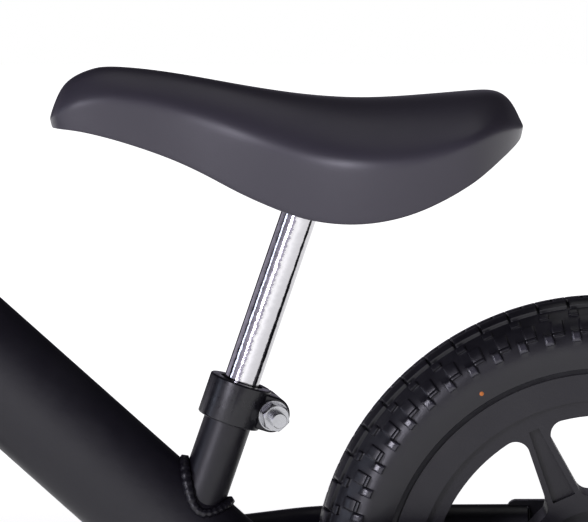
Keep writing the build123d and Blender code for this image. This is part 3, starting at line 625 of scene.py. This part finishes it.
# The base under the foam: a moulded tray that follows the cover, with four bosses for the bracket's screws.
base = saddle_skin("saddle_tray", [0, 0.2, 0.42, 0.62, 0.8, 0.94], [0.08, 0.26, 0.48, 0.7])
sink = base.modifiers.new("sink", "DISPLACE")
sink.strength, sink.mid_level = -7.4 * MM, 0
plate = base.modifiers.new("plate", "SOLIDIFY")
plate.thickness, plate.offset = 2.6 * MM, -1
smooth = base.modifiers.new("smooth", "SUBSURF")
smooth.levels = smooth.render_levels = 1
complete(base, trim_plastic, "saddle", "trim_plastic", "saddle_base", angle=60)
BOSS = [(2.6, 384), (6, 384), (6.2, 390), (6.8, 400), (2.6, 400), (2.6, 384)]
for i, (x, y) in enumerate((x, y) for x in (102, 154) for y in (-12, 12)):
    boss = turned(f"saddle_boss_{i + 1}", BOSS, Matrix.Translation((x * MM, y * MM, 0)), steps=24)
    complete(boss, trim_plastic, "saddle", "trim_plastic")


# ---- Handlebar -------------------------------------------------------------------------------------------
# A bent steel bar welded into the top of its stem, which slides in the steerer and is held by the split
# collar.

coat(powder_coat, "handlebar", "handlebar_stem")
BAR_Z = 165 * MM


def in_bar(point):
    p = steer.inverted() @ point
    return hypot(p.x, p.z - BAR_Z) < 11.1 * MM


weld("handlebar_weld", seam(steer, 12.65 * MM * 0.94, 12.65 * MM, in_bar, 0.13, BAR_Z, points=120), 1.9 * MM,
     "handlebar")

# Grips, moulded in soft rubber and pushed on: a flange, a row of finger rings and a rounded safety end.
grip_rubber, tree, shader, where = new_finish("soft grip rubber", "#17171a", IOR=1.5)
skin = add(tree, "ShaderNodeTexNoise", {"Vector": where}, Scale=1300, Detail=2)
rough = add(tree, "ShaderNodeMapRange", {"Value": skin.outputs["Fac"]}, To_Min=0.5, To_Max=0.7)
bump = add(tree, "ShaderNodeBump", {"Height": skin.outputs["Fac"]}, Strength=0.3, Distance=0.0002)
tree.links.new(rough.outputs[0], shader.inputs["Roughness"])
tree.links.new(bump.outputs[0], shader.inputs["Normal"])
rings = [point for i in range(12) for point in ((13.6, -84 + 6.2 * i), (14.9, -83.2 + 6.2 * i),
                                                (15.2, -82 + 6.2 * i), (15.2, -80.4 + 6.2 * i),
                                                (14.9, -79.2 + 6.2 * i), (13.6, -78.4 + 6.2 * i))]
grip_side = [(11.15, -92), (19, -92), (20, -91), (20, -89), (19, -88), (14.2, -87), *rings, (14.4, -8),
             (17, -7), (18.4, -5), (18.5, 0), (18, 4), (15.5, 5.7), (10, 6), (0, 6)]
for side, sign in (("right", 1), ("left", -1)):
    bar_end = steer @ Vector((28 * MM, sign * 200 * MM, 198 * MM))
    bar_bend = steer @ Vector((6 * MM, sign * 95 * MM, 192 * MM))
    grip = turned(f"ribbed_grip_{side}", grip_side, axes(bar_end, bar_end - bar_bend, (0, 0, 1)), steps=40)
    complete(grip, grip_rubber, "handlebar", "grip_rubber", f"grip_{side}", angle=50)


# ---- Studio ----------------------------------------------------------------------------------------------
# A pale floor and a white backdrop. What the gloss reflects is a light band round the horizon, duller
# towards the bike's rear, with a dark ceiling and a dark flag on each side behind, and three soft lamps.

bpy.ops.object.select_all(action="DESELECT")
bpy.ops.mesh.primitive_plane_add(size=14, location=(0, 0, -0.0005))
floor = bpy.context.object
floor.name = "floor"
pale_floor, tree, shader, where = new_finish("pale studio floor", "#f4f4f6", Roughness=0.9)
away = add(tree, "ShaderNodeVectorMath", {0: where}, operation="LENGTH")
glow = add(tree, "ShaderNodeMapRange", {"Value": away.outputs["Value"]}, interpolation_type="SMOOTHSTEP",
           From_Min=0.5, From_Max=2.2, To_Min=0.72, To_Max=1.2)
shader.inputs["Emission Color"].default_value = (1, 1, 1, 1)
tree.links.new(glow.outputs[0], shader.inputs["Emission Strength"])
floor.data.materials.append(pale_floor)

world = bpy.data.worlds.new("studio")
bpy.context.scene.world = world
world.use_nodes = True
tree = world.node_tree
tree.nodes.clear()
toward = add(tree, "ShaderNodeTexCoord").outputs["Generated"]
split = add(tree, "ShaderNodeSeparateXYZ", {"Vector": toward})
band = add(tree, "ShaderNodeMapRange", {"Value": split.outputs["Z"]}, interpolation_type="SMOOTHSTEP",
           From_Min=0.02, From_Max=0.38, To_Min=1, To_Max=0)
aside = add(tree, "ShaderNodeMath", {0: split.outputs["X"]}, operation="ABSOLUTE")
inner = add(tree, "ShaderNodeMapRange", {"Value": aside.outputs[0]}, From_Min=0.12, From_Max=0.2)
outer = add(tree, "ShaderNodeMapRange", {"Value": aside.outputs[0]}, From_Min=0.6, From_Max=0.75, To_Min=1,
            To_Max=0)
behind = add(tree, "ShaderNodeMapRange", {"Value": split.outputs["Y"]}, From_Min=0.3, From_Max=0.4)
low = add(tree, "ShaderNodeMapRange", {"Value": split.outputs["Z"]}, From_Min=0.2, From_Max=0.26, To_Min=1,
          To_Max=0)
flag = add(tree, "ShaderNodeMath", {0: inner.outputs[0], 1: outer.outputs[0]}, operation="MULTIPLY")
flag = add(tree, "ShaderNodeMath", {0: flag.outputs[0], 1: behind.outputs[0]}, operation="MULTIPLY")
flag = add(tree, "ShaderNodeMath", {0: flag.outputs[0], 1: low.outputs[0]}, operation="MULTIPLY")
open_part = add(tree, "ShaderNodeMath", {1: flag.outputs[0]}, operation="SUBTRACT")
open_part.inputs[0].default_value = 1
lit = add(tree, "ShaderNodeMath", {0: band.outputs[0], 1: open_part.outputs[0]}, operation="MULTIPLY")
shady = add(tree, "ShaderNodeMapRange", {"Value": split.outputs["X"]}, From_Min=0.3, From_Max=0.9, To_Min=1,
            To_Max=0.4)
lit = add(tree, "ShaderNodeMath", {0: lit.outputs[0], 1: shady.outputs[0]}, operation="MULTIPLY")
room = add(tree, "ShaderNodeMix", {"Factor": lit.outputs[0]}, data_type="RGBA")
room.inputs[6].default_value, room.inputs[7].default_value = (0.03, 0.028, 0.035, 1), (0.5, 0.47, 0.58, 1)
seen = add(tree, "ShaderNodeLightPath").outputs["Is Camera Ray"]
glow = add(tree, "ShaderNodeBackground", {"Color": room.outputs[2]}, Strength=1)
white = add(tree, "ShaderNodeBackground", Color=(1, 1, 1, 1), Strength=1)
pick = add(tree, "ShaderNodeMixShader", {0: seen, 1: glow.outputs[0], 2: white.outputs[0]})
add(tree, "ShaderNodeOutputWorld", {"Surface": pick.outputs[0]})


def soft_lamp(name, place, target, size, power, colour="#ffffff"):
    lamp = bpy.data.lights.new(name, "AREA")
    lamp.shape, lamp.size, lamp.size_y = "RECTANGLE", size[0], size[1]
    lamp.energy, lamp.color = power, tone(colour)[:3]
    piece = bpy.data.objects.new(name, lamp)
    bpy.context.collection.objects.link(piece)
    piece.location = place
    piece.rotation_euler = (Vector(target) - Vector(place)).to_track_quat("-Z", "Y").to_euler()


MIDDLE = (0.0, 0, 0.3)
soft_lamp("overhead_softbox", (0.2, 0.2, 2.6), MIDDLE, (1.6, 1.4), 4)
soft_lamp("front_softbox", (-1.25, -2.05, 0.9), MIDDLE, (0.6, 0.9), 24, "#f2efff")
soft_lamp("side_window", (-2.6, -0.6, 0.75), MIDDLE, (0.4, 0.9), 4, "#d8e4ff")

camera = bpy.data.cameras.new("camera")
camera.lens, camera.sensor_width = 270, 36
camera.clip_end = 60
viewpoint = bpy.data.objects.new("camera", camera)
bpy.context.collection.objects.link(viewpoint)
AIM = Vector((0.1135, 0, 0.3216))
RISE = radians(6)
viewpoint.location = AIM + 2.3 * Vector((0, -cos(RISE), sin(RISE)))
viewpoint.rotation_euler = (AIM - viewpoint.location).to_track_quat("-Z", "Y").to_euler()
bpy.context.scene.camera = viewpoint
bpy.context.scene.view_settings.view_transform = "Standard"

bpy.context.view_layer.update()
